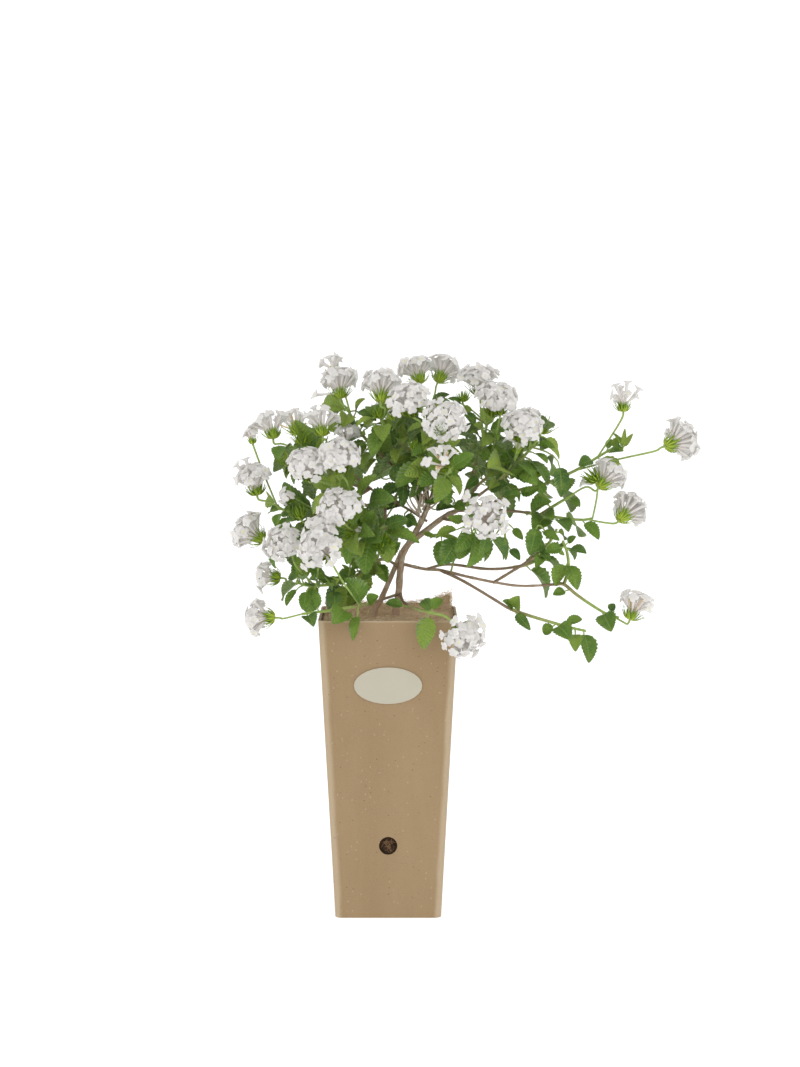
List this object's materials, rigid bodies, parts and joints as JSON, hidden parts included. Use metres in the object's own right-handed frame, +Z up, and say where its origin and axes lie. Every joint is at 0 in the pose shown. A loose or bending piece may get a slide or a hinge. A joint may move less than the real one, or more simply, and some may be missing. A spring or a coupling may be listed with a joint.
{
  "type": "potted lantana",
  "caption": "Bushy flowering lantana with domed white flower heads and toothed leaves, in a tall tapered cardboard sleeve.",
  "frame": {"origin": "middle of the sleeve's flat base, where it stands on a surface", "axes": "+Z up, the sleeve's front face with the label looks along -Y, +X to the right of that face"},
  "size_m": [0.3102, 0.1858, 0.3737],
  "materials": {
    "cardboard": "matt, brown recycled board with small flecks",
    "label_paper": "matt cream paper, left bare",
    "soil": "rough dark brown, damp",
    "coir": "woolly brown fibre",
    "bark": "rough grey brown bark",
    "leaf": "satin dark green, wrinkled by its veins",
    "petal": "soft white with a pale yellow-green throat"
  },
  "bodies": {
    "root": {"head_back": "petal", "head_back_left": "petal", "head_back_low": "petal", "head_back_mid": "petal", "head_back_right": "petal", "head_centre_a": "petal", "head_centre_b": "petal", "head_centre_c": "petal", "head_far_right": "petal", "head_front_left": "petal", "head_front_low": "petal", "head_front_right": "petal", "head_left_low_a": "petal", "head_left_low_b": "petal", "head_left_low_out": "petal", "head_left_mid": "petal", "head_left_out": "petal", "head_left_top": "petal", "head_right_low": "petal", "head_right_mid": "petal", "head_right_shoulder": "petal", "head_right_tall": "petal", "head_right_top_a": "petal", "head_right_top_b": "petal", "head_right_upper": "petal", "head_rim_front": "petal", "head_rim_left": "petal", "head_top": "petal", "head_top_left_a": "petal", "head_top_left_b": "petal", "heads_left_front": "petal", "heads_top_back": "petal", "label": "label_paper", "mat": "coir", "sleeve": "cardboard", "soil": "soil", "spray_back": "leaf", "spray_back_left": "leaf", "spray_back_low": "leaf", "spray_back_right": "leaf", "spray_centre": "leaf", "spray_front_left": "leaf", "spray_front_right": "leaf", "spray_left_front": "leaf", "spray_left_low": "leaf", "spray_left_out": "leaf", "spray_left_top": "leaf", "spray_right_across": "leaf", "spray_right_low": "leaf", "spray_right_mid": "leaf", "spray_right_shoulder": "leaf", "spray_right_thin": "leaf", "spray_right_top": "leaf", "spray_right_trailing": "leaf", "spray_right_upper": "leaf", "spray_rim_front": "leaf", "spray_rim_left": "leaf", "spray_top": "leaf", "spray_top_left": "leaf", "trunk": "bark"}
  },
  "joints": []
}
